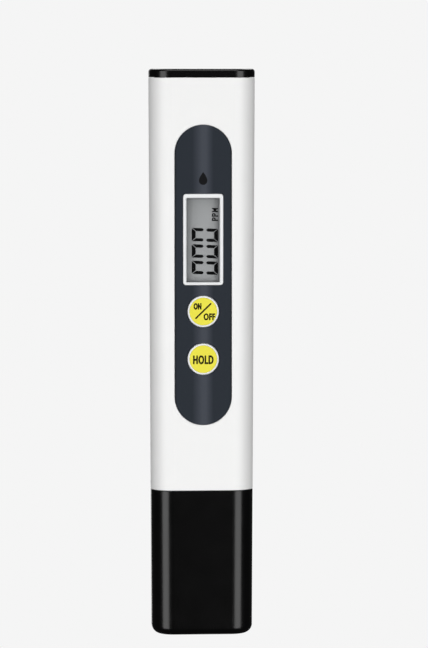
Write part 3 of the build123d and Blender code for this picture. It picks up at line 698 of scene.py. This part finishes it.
@dataclass
class MarkMaker:
    """Makes thin marks that lie on a front face and are read from the front."""

    film: float = 0.012 * MM
    lift: float = 0.002 * MM
    letter_space: float = 1.16
    curve_steps: int = 6
    merge_distance: float = 0.001 * MM

    def start(self) -> None:
        """Leave edit mode with nothing selected."""
        if bpy.context.mode != "OBJECT":
            bpy.ops.object.mode_set(mode="OBJECT")
        bpy.ops.object.select_all(action="DESELECT")

    def select_points(self, piece: bpy.types.Object, test: Callable[[Vector], bool]) -> None:
        """Select the points of a mesh that pass a test, and go into edit mode.

        Args:
            piece: Object whose points are tested.
            test: Says for a point's place whether it is wanted.
        """
        bpy.ops.object.mode_set(mode="EDIT")
        bpy.ops.mesh.select_mode(type="VERT")
        bpy.ops.mesh.select_all(action="DESELECT")
        bpy.ops.object.mode_set(mode="OBJECT")
        for point in piece.data.vertices:
            point.select = test(point.co)
        bpy.ops.object.mode_set(mode="EDIT")

    def _thicken(self) -> None:
        """Extrude the flat mark in edit mode to the thickness of the film."""
        bpy.ops.mesh.select_all(action="SELECT")
        bpy.ops.mesh.extrude_region_move(TRANSFORM_OT_translate={"value": (0, 0, self.film)})
        bpy.ops.mesh.select_all(action="SELECT")
        bpy.ops.mesh.normals_make_consistent(inside=False)
        bpy.ops.object.mode_set(mode="OBJECT")

    def _place(self, piece: bpy.types.Object, reading: Reading, at: Vector, name: str) -> None:
        """Turn a flat mark to the front, put it on its face and apply its place.

        Args:
            piece: Mark that lies flat round the origin.
            reading: Direction in which it is read.
            at: Point of the face that the mark is centred on.
            name: Name of the finished piece.
        """
        piece.matrix_world = Matrix.Translation(at - Vector((0, self.lift, 0))) @ reading.value
        bpy.ops.object.select_all(action="DESELECT")
        piece.select_set(True)
        bpy.context.view_layer.objects.active = piece
        bpy.ops.object.transform_apply(location=True, rotation=True, scale=True)
        piece.name = name

    def words(self, words: Lettering, reading: Reading, at: Vector) -> bpy.types.Object:
        """Make words as a thin film.

        Args:
            words: What is written, with the name of the piece, its size and its weight.
            reading: Direction in which they are read.
            at: Point of the face that the words are centred on.

        Returns:
            The finished piece.
        """
        self.start()
        bpy.ops.object.text_add(location=(0, 0, 0))
        line = bpy.context.object.data
        line.body = words.text
        line.resolution_u = self.curve_steps
        line.space_character = self.letter_space
        bpy.ops.object.convert(target="CURVE")
        piece = bpy.context.object
        # Corners 0 and 6 of an object's box are its lowest and its highest
        low, high = Vector(piece.bound_box[0]), Vector(piece.bound_box[6])
        scale = [
            (wanted - 2 * words.weight) / (high[i] - low[i])
            for i, wanted in enumerate((words.length, words.height))
        ]
        piece.scale = (*scale, 1)
        bpy.ops.object.transform_apply(location=False, rotation=False, scale=True)
        piece.data.offset = words.weight
        bpy.ops.object.convert(target="MESH")
        piece = bpy.context.object
        middle = [-(low[i] + high[i]) / 2 * factor for i, factor in enumerate(scale)]
        piece.location = (*middle, 0)
        bpy.ops.object.transform_apply(location=True)
        bpy.ops.object.mode_set(mode="EDIT")
        bpy.ops.mesh.select_all(action="SELECT")
        bpy.ops.mesh.remove_doubles(threshold=self.merge_distance)
        self._thicken()
        self._place(piece, reading, at, words.name)
        return piece

    def bar(
        self, length: float, width: float, ends: tuple[Corner, Corner],
        reach: tuple[float, float], inner: int = 1,
    ) -> bpy.types.Object:
        """Make one flat bar along X with its two ends cut.

        Args:
            length: Length of the bar.
            width: Width of the bar.
            ends: How the left and the right end are cut.
            reach: How far the cut at each end reaches along the bar.
            inner: 1 where a mitred end is cut from the upper edge, -1 from the lower.

        Returns:
            The bar, centred on the origin.
        """
        self.start()
        bpy.ops.mesh.primitive_plane_add(size=1, location=(0, 0, 0))
        piece = bpy.context.object
        piece.scale = (length, width, 1)
        bpy.ops.object.transform_apply(scale=True)
        near_end = 0.49 * length
        near_edge = 0.4 * width
        for side, end, cut in zip((-1, 1), ends, reach):
            if end is Corner.POINTED:
                self.select_points(piece, lambda point: point.x * side > near_end)
                bpy.ops.mesh.subdivide(number_cuts=1)
            self.select_points(
                piece,
                lambda point: point.x * side > near_end
                and (abs(point.y) > near_edge if end is Corner.POINTED else point.y * inner > 0),
            )
            bpy.ops.transform.translate(value=(-side * cut, 0, 0))
            bpy.ops.object.mode_set(mode="OBJECT")
        return piece

    def stroke(self, length: float, width: float) -> bpy.types.Object:
        """Make a bar along X with a shallow point at each end."""
        return self.bar(length, width, (Corner.POINTED, Corner.POINTED), (width / 4, width / 4))

    def join(self, pieces: list) -> bpy.types.Object:
        """Join several flat pieces into the first one."""
        self.start()
        for piece in pieces:
            piece.select_set(True)
        bpy.context.view_layer.objects.active = pieces[0]
        bpy.ops.object.join()
        return bpy.context.object

    def thick_plate(self, piece: bpy.types.Object, reading: Reading, at: Vector, name: str) -> None:
        """Thicken a flat piece to a film and put it on its face.

        Args:
            piece: Flat piece round the origin.
            reading: Direction in which it is read.
            at: Point of the face that it is centred on.
            name: Name of the finished piece.
        """
        self.start()
        piece.select_set(True)
        bpy.context.view_layer.objects.active = piece
        bpy.ops.object.transform_apply(location=True, rotation=True, scale=True)
        bpy.ops.object.mode_set(mode="EDIT")
        self._thicken()
        self._place(piece, reading, at, name)


@dataclass
class Shell:
    """White housing and the dark panel on its front, with a drop printed on it."""

    bench: Bench
    marks: MarkMaker
    drop_above_bezel: float = 2.63 * MM
    drop_radius: float = 1.15 * MM
    drop_rise: float = 1.2 * MM
    drop_corners: int = 48
    drop_pull_radii: float = 1.5

    def dress(self) -> None:
        """Give the housing and the panel their finishes."""
        half_width = self.bench.high("front_panel").x
        self.bench.dress("housing", WHITE_SHELL)
        self.bench.dress("front_panel", PanelFilm("dark_film", half_width))

    def print_drop(self) -> None:
        """Print a plain water drop above the display."""
        maker = self.marks
        maker.start()
        bpy.ops.mesh.primitive_circle_add(
            vertices=self.drop_corners,
            radius=self.drop_radius,
            fill_type="NGON",
            location=(0, 0, 0),
        )
        drop = bpy.context.object
        just_below_top = self.drop_radius * 0.999
        maker.select_points(drop, lambda point: point.y > just_below_top)
        bpy.ops.transform.translate(
            value=(0, self.drop_rise, 0),
            use_proportional_edit=True,
            proportional_edit_falloff="SHARP",
            proportional_size=self.drop_pull_radii * self.drop_radius,
        )
        face = self.bench.low("front_panel").y
        height = self.bench.high("display_bezel").z + self.drop_above_bezel
        bpy.ops.object.mode_set(mode="OBJECT")
        maker.thick_plate(drop, Reading.ACROSS, Vector((0, face, height)), "drop_mark")
        self.bench.hand_over(drop, "meter", "panel_film", PANEL_INK)


@dataclass
class Display:
    """Bezel, window, glass and the reading on it."""

    bench: Bench
    marks: MarkMaker
    digit_count: int = 3
    digit_length: float = 7.2 * MM
    digit_width: float = 3.62 * MM
    digit_pitch: float = 4.48 * MM
    first_digit_from_end: float = 4.315 * MM
    digit_offset: float = 0.6 * MM
    end_bar: float = 1.08 * MM
    side_bar: float = 0.86 * MM
    mitre_gap: float = 0.11 * MM
    middle_gap: float = 0.6 * MM
    slant: float = 0.045
    unit_offset: float = 3.35 * MM
    unit_from_end: float = 5.0 * MM

    def dress(self) -> None:
        """Give the display's pieces their finishes."""
        bench = self.bench
        window = bench.middle("display_window")
        half = (bench.high("display_window") - bench.low("display_window")) / 2
        grey = LiquidCrystal("liquid_crystal", (window.x, window.z), (half.x, half.z))
        bench.dress("display_bezel", WHITE_TRIM)
        bench.dress("display_window", CLEAR_WINDOW)
        bench.dress("display_front_glass", grey)
        bench.dress("display_rear_glass", REAR_GLASS)
        bench.dress("display_reflector", MIRROR_SHEET)
        bench.dress("display_holder", FROSTED)
        bench.dress("zebra_strip_left", ZEBRA)
        bench.dress("zebra_strip_right", ZEBRA)

    def _side_bars(self) -> list:
        """Four bars along the digit, in pairs that point at its middle."""
        bars = []
        length = self.digit_length / 2 - self.mitre_gap - self.middle_gap / 2
        for side in (-1, 1):
            ends = (Corner.MITRED, Corner.POINTED)[:: -side]
            reach = (self.end_bar, self.side_bar / 2)[:: -side]
            across = side * (length + self.middle_gap) / 2
            for edge in (-1, 1):
                bar = self.marks.bar(length, self.side_bar, ends, reach, -edge)
                up = edge * (self.digit_width - self.side_bar) / 2 - self.slant * across
                bar.rotation_euler = (0, 0, -math.atan(self.slant))
                bar.location = (across, up, 0)
                bars.append(bar)
        return bars

    def _end_bars(self) -> list:
        """Two bars across the digit's ends."""
        bars = []
        length = self.digit_width - 2 * self.mitre_gap
        ends = (Corner.MITRED, Corner.MITRED)
        for side in (-1, 1):
            bar = self.marks.bar(length, self.end_bar, ends, (self.side_bar, self.side_bar))
            across = side * (self.digit_length - self.end_bar) / 2
            bar.rotation_euler = (0, 0, side * QUARTER_TURN)
            bar.location = (across, -self.slant * across, 0)
            bars.append(bar)
        return bars

    def show_digits(self) -> None:
        """Show three noughts on the glass, read upwards."""
        bench = self.bench
        face = bench.low("display_front_glass").y
        low = bench.low("display_window").z
        for index in range(self.digit_count):
            parts = self._side_bars() + self._end_bars()
            digit = self.marks.join(parts)
            height = low + self.first_digit_from_end + index * self.digit_pitch
            at = Vector((self.digit_offset, face, height))
            self.marks.thick_plate(digit, Reading.ACROSS, at, f"digit_{index + 1}")
            bench.hand_over(digit, "meter", "display_glass", DISPLAY_INK)

    def show_unit(self) -> None:
        """Show the unit beside the digits, read upwards."""
        bench = self.bench
        face = bench.low("display_front_glass").y
        middle = bench.high("display_window").z - self.unit_from_end
        for letters in (UNIT_START, UNIT_END):
            at = Vector((self.unit_offset, face, middle + letters.up))
            unit = self.marks.words(letters, Reading.UPWARDS, at)
            bench.hand_over(unit, "meter", "display_glass", DISPLAY_INK)


@dataclass
class Button:
    """One push button with its coloured face, its switch and its print."""

    bench: Bench
    marks: MarkMaker
    name: str
    slash_up: float = 0.15 * MM

    def dress(self) -> None:
        """Give the button and its switch their finishes."""
        bench = self.bench
        bench.dress(f"button_{self.name}", WHITE_TRIM)
        bench.dress(f"button_face_{self.name}", YELLOW_FACE)
        bench.dress(f"switch_body_{self.name}", BLACK_NYLON)
        bench.dress(f"switch_cover_{self.name}", BRIGHT_STEEL)
        bench.dress(f"switch_plunger_{self.name}", BLACK_NYLON)

    def _at(self, across: float, up: float) -> Vector:
        """Point of the coloured face at an offset from its centre."""
        face = f"button_face_{self.name}"
        centre = self.bench.middle(face)
        return Vector((centre.x + across, self.bench.low(face).y, centre.z + up))

    def print_words(self, words: Lettering) -> None:
        """Print words on the face, at their offset from its centre."""
        at = self._at(words.across, words.up)
        word = self.marks.words(words, Reading.ACROSS, at)
        self.bench.hand_over(word, f"{self.name}_button", "yellow_print", BUTTON_INK)

    def print_slash(self, length: float, width: float, angle: float) -> None:
        """Print the stroke between two words.

        Args:
            length: Length of the stroke.
            width: Width of the stroke.
            angle: Its angle from level, in degrees.
        """
        maker = self.marks
        stroke = maker.stroke(length, width)
        stroke.rotation_euler = (0, 0, math.radians(angle))
        maker.thick_plate(stroke, Reading.ACROSS, self._at(0, self.slash_up), "slash_mark")
        self.bench.hand_over(stroke, f"{self.name}_button", "yellow_print", BUTTON_INK)


@dataclass
class Board:
    """Circuit board and the parts on it."""

    bench: Bench

    def dress(self) -> None:
        """Give the board and its parts their finishes."""
        bench = self.bench
        bench.dress("circuit_board", SOLDER_MASK)
        bench.dress("board_screws", SOLDERED)
        bench.dress("controller_blob", RESIN)
        bench.dress("crystal", BRIGHT_STEEL)
        for node, share, colour in (
            ("amplifier_chip", 0.66, (0.02, 0.02, 0.021)),
            ("chip_resistors", 0.62, (0.015, 0.015, 0.016)),
            ("chip_capacitors", 0.55, (0.32, 0.2, 0.11)),
        ):
            half = (bench.high(node).x - bench.low(node).x) / 2
            finish = ChipBody(f"{node}_body", bench.middle(node).x, share * half, colour)
            bench.dress(node, finish)


@dataclass
class BatteryDrawer:
    """Battery cap with its tray, its cells and the contacts that they touch."""

    bench: Bench
    marks: MarkMaker
    sign_size: float = 2.6 * MM
    sign_stroke: float = 0.32 * MM

    def dress(self) -> None:
        """Give the drawer's pieces their finishes."""
        bench = self.bench
        bench.dress("battery_cap", BLACK_CAP)
        bench.dress("battery_cap_seal", RUBBER)
        bench.dress("battery_tray", BLACK_NYLON)
        bench.dress("battery_link", BRIGHT_STEEL)
        bench.dress("battery_contact_positive", BRIGHT_STEEL)
        bench.dress("battery_contact_negative", BRIGHT_STEEL)
        for side in ("left", "right"):
            centre = bench.middle(f"battery_cell_{side}")
            finish = CellSteel(f"cell_steel_{side}", (centre.x, centre.z))
            bench.dress(f"battery_cell_{side}", finish)

    def mark_pole(self) -> None:
        """Mark the flat pole of the left cell with a plus sign."""
        cell = "battery_cell_left"
        centre = self.bench.middle(cell)
        level = self.marks.stroke(self.sign_size, self.sign_stroke)
        upright = self.marks.stroke(self.sign_size, self.sign_stroke)
        upright.rotation_euler = (0, 0, QUARTER_TURN)
        sign = self.marks.join([level, upright])
        at = Vector((centre.x, self.bench.low(cell).y, centre.z))
        self.marks.thick_plate(sign, Reading.ACROSS, at, "plus_mark")
        self.bench.hand_over(sign, "battery_drawer", "bright_steel", PANEL_INK)


@dataclass
class Probe:
    """Probe holder with its pins, sensor and seals, and the cap over it."""

    bench: Bench

    def dress(self) -> None:
        """Give the probe's pieces and its cap their finishes."""
        bench = self.bench
        bench.dress("probe_holder", BLACK_HOLDER)
        bench.dress("holder_seal", RUBBER)
        bench.dress("cap_seal", RUBBER)
        bench.dress("probe_potting", RESIN)
        bench.dress("probe_pin_left", TITANIUM)
        bench.dress("probe_pin_right", TITANIUM)
        bench.dress("temperature_sensor", BEAD)
        bench.dress("protective_cap", BLACK_CAP)


@dataclass
class SoftBox:
    """Large soft light that looks at the meter's middle.

    Angles are in degrees: aside to the right of the camera, and above the meter's middle.
    """

    name: str
    aside: float
    above: float
    distance: float
    size: tuple[float, float]
    power: float

    def add(self, azimuth: float, middle: Vector) -> None:
        """Add the light.

        Args:
            azimuth: The camera's direction round the meter, in degrees.
            middle: Point that the light looks at.
        """
        turn = math.radians(azimuth + self.aside)
        rise = math.radians(self.above)
        level = math.cos(rise)
        away = Vector((level * math.sin(turn), -level * math.cos(turn), math.sin(rise)))
        bpy.ops.object.light_add(type="AREA", location=middle + away * self.distance)
        light = bpy.context.object
        light.name = self.name
        light.rotation_euler = (-away).to_track_quat("-Z", "Y").to_euler()
        light.data.shape = "RECTANGLE"
        light.data.size, light.data.size_y = self.size
        light.data.energy = self.power


@dataclass
class Studio:
    """World, soft lights and the camera."""

    background: float = 0.913
    camera_distance: float = 0.998
    camera_azimuth: float = -3.68
    camera_height: float = 0.1502
    aim: tuple[float, float, float] = (0.003433, 0.0, 0.0851)
    lens: float = 202.4
    film_height: float = 36.0
    fill: float = 0.05
    gloss_fill: float = 0.03
    backdrop_from: float = 0.93
    backdrop_full: float = 0.98

    def set_camera(self) -> None:
        """Add the camera where the photograph was taken from."""
        turn = math.radians(self.camera_azimuth)
        place = Vector(
            (
                self.camera_distance * math.sin(turn),
                -self.camera_distance * math.cos(turn),
                self.camera_height,
            )
        )
        bpy.ops.object.camera_add(location=place)
        camera = bpy.context.object
        camera.rotation_euler = (Vector(self.aim) - place).to_track_quat("-Z", "Y").to_euler()
        camera.data.lens = self.lens
        camera.data.sensor_fit = "VERTICAL"
        camera.data.sensor_height = self.film_height
        bpy.context.scene.camera = camera
        log.info("camera at %s", tuple(round(value, 4) for value in place))

    def set_lights(self) -> None:
        """Add a soft box on each side of the camera, one high in front and one high behind."""
        middle = Vector((0, 0, self.aim[2]))
        beside = {"above": -6.0, "distance": 0.65, "size": (0.38, 0.85), "power": 3.12}
        for light in (
            SoftBox("soft_box_left", aside=-40.0, **beside),
            SoftBox("soft_box_right", aside=40.0, **beside),
            SoftBox(
                "soft_box_top", aside=0.0, above=56.0, distance=1.2, size=(0.9, 0.5), power=4.0
            ),
            SoftBox(
                "soft_box_back", aside=180.0, above=46.0, distance=1.2, size=(1.0, 0.6), power=9.0
            ),
        ):
            light.add(self.camera_azimuth, middle)

    def set_world(self) -> None:
        """Give the world a weak fill, and a pale backdrop.

        The camera sees the backdrop all round. Glossy and clear surfaces see it only where
        it is behind the meter, so that the black caps stay black.
        """
        world = bpy.data.worlds.new("studio")
        bpy.context.scene.world = world
        world.use_nodes = True
        board = NodeBoard(world.node_tree)
        camera_ray, glossy_ray, through_ray = (
            board.node("ShaderNodeLightPath", {}, {}, f"Is {kind} Ray")
            for kind in ("Camera", "Glossy", "Transmission")
        )
        direction = board.node("ShaderNodeTexCoord", {}, {}, "Generated")
        backwards = board.node("ShaderNodeSeparateXYZ", {}, {"Vector": direction}, "Y")
        behind = board.smooth_step(backwards, self.backdrop_from, self.backdrop_full)
        glow = (camera_ray + (glossy_ray + through_ray) * behind) * self.background
        level = glow + (1 - camera_ray) * (glossy_ray * (self.gloss_fill - self.fill) + self.fill)
        light = board.node("ShaderNodeBackground", {}, {"Color": (1, 1, 1), "Strength": level})
        board.node("ShaderNodeOutputWorld", {}, {"Surface": light})


def main() -> None:
    """Build the scene in order and report each piece."""
    logging.basicConfig(level=logging.INFO, format="%(message)s")
    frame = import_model()
    bench = Bench(frame)
    marks = MarkMaker()

    shell = Shell(bench, marks)
    shell.dress()
    shell.print_drop()

    display = Display(bench, marks)
    display.dress()
    display.show_digits()
    display.show_unit()

    on_off = Button(bench, marks, "on_off")
    on_off.dress()
    on_off.print_words(ON_WORD)
    on_off.print_words(OFF_WORD)
    on_off.print_slash(length=6.1 * MM, width=0.42 * MM, angle=44.3)

    hold = Button(bench, marks, "hold")
    hold.dress()
    hold.print_words(HOLD_WORD)

    Board(bench).dress()
    drawer = BatteryDrawer(bench, marks)
    drawer.dress()
    drawer.mark_pole()
    Probe(bench).dress()

    missing = sorted(set(bench.nodes) - bench.dressed)
    log.info("nodes without a finish: %s", missing or "none")

    studio = Studio()
    studio.set_camera()
    studio.set_lights()
    studio.set_world()
    bpy.context.scene.view_settings.view_transform = "Standard"


if __name__ == "__main__":
    main()
